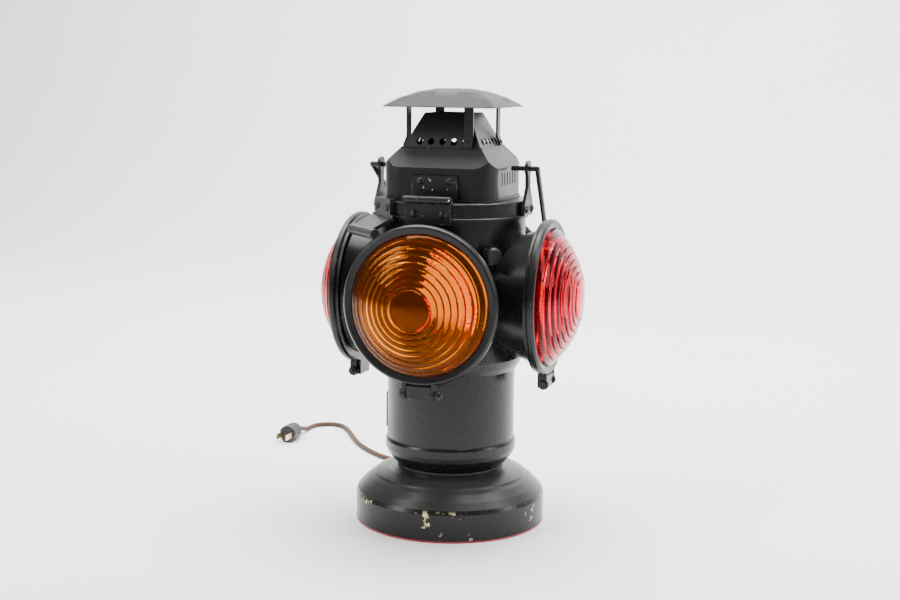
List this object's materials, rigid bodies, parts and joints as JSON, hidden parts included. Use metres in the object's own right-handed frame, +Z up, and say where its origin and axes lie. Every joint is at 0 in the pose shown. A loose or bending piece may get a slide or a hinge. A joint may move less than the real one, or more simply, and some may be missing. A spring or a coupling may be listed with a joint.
{
  "type": "signal lamp",
  "caption": "Four-lens railway switch signal lamp on a round foot: two amber and two red stepped lenses, hinged vented lid, wire bail, electric bulb and cord.",
  "frame": {"origin": "centre of the foot, on the surface it stands on", "axes": "+Z up; the front amber lens looks along -Y and the right red lens along +X"},
  "size_m": [0.409, 0.436, 0.42],
  "materials": {
    "black_paint": "satin black enamel, dusty and chipped",
    "cast_black": "glossy black enamel on a casting, chipped",
    "cap_paint": "worn satin black enamel",
    "bracket_paint": "worn grey-black paint",
    "dark_steel": "blackened steel",
    "felt": "red felt",
    "amber_glass": "pressed amber glass",
    "red_glass": "pressed red glass",
    "gasket": "old cork and rubber",
    "brass": "dull brass",
    "cap_metal": "plated",
    "bulb_glass": "frosted glass",
    "rubber": "black rubber",
    "cord_braid": "brown woven cord",
    "plug_moulding": "dark moulded plug"
  },
  "bodies": {
    "body": {"foot": "cast_black", "felt_pad": "felt", "barrel": "black_paint", "drum": "black_paint", "collar": "black_paint", "number_plate": "black_paint", "hinge_body_leaf": "black_paint", "hinge_pin": "dark_steel", "hinge_body_rivets": "dark_steel", "bail_ears": "black_paint", "ear_rivets": "dark_steel", "corner_bracket": "bracket_paint", "bracket_pin": "dark_steel", "bracket_rivets": "dark_steel", "front_lens": "amber_glass", "right_lens": "red_glass", "rear_lens": "amber_glass", "left_lens": "red_glass", "front_bezel": "black_paint", "right_bezel": "black_paint", "rear_bezel": "black_paint", "left_bezel": "black_paint", "lens_gaskets": "gasket", "bezel_bolts": "dark_steel", "bezel_nuts": "dark_steel", "sight_tube": "black_paint", "lamp_stem": "brass", "stem_nut": "brass", "lamp_holder": "brass", "bulb_cap": "cap_metal", "bulb": "bulb_glass", "cord_grommet": "rubber", "cord_lead": "cord_braid", "cord_coil": "cord_braid", "cord_run": "cord_braid", "plug": "plug_moulding", "plug_prongs": "brass"},
    "lid": {"lid": "black_paint", "vent_hood": "black_paint", "rain_cap": "cap_paint", "cap_straps": "black_paint", "strap_rivets": "dark_steel", "hinge_lid_leaf": "black_paint", "hinge_lid_rivets": "dark_steel"},
    "bail": {"bail": "black_paint"},
    "sight_plug": {"sight_plug": "black_paint"}
  },
  "joints": [
    {"name": "lid_hinge", "type": "hinge", "parent": "body", "child": "lid", "pos_m": [0, -0.0768, 0.3196], "axis": [1, 0, 0], "range_deg": [0, 105]},
    {"name": "bail_swing", "type": "hinge", "parent": "body", "child": "bail", "pos_m": [0, 0, 0.346], "axis": [-1, 0, 0], "range_deg": [-212, 0]},
    {"name": "sight_plug_pull", "type": "slide", "parent": "body", "child": "sight_plug", "axis": [0.7071, -0.7071, 0], "range_m": [0, 0.012]}
  ]
}
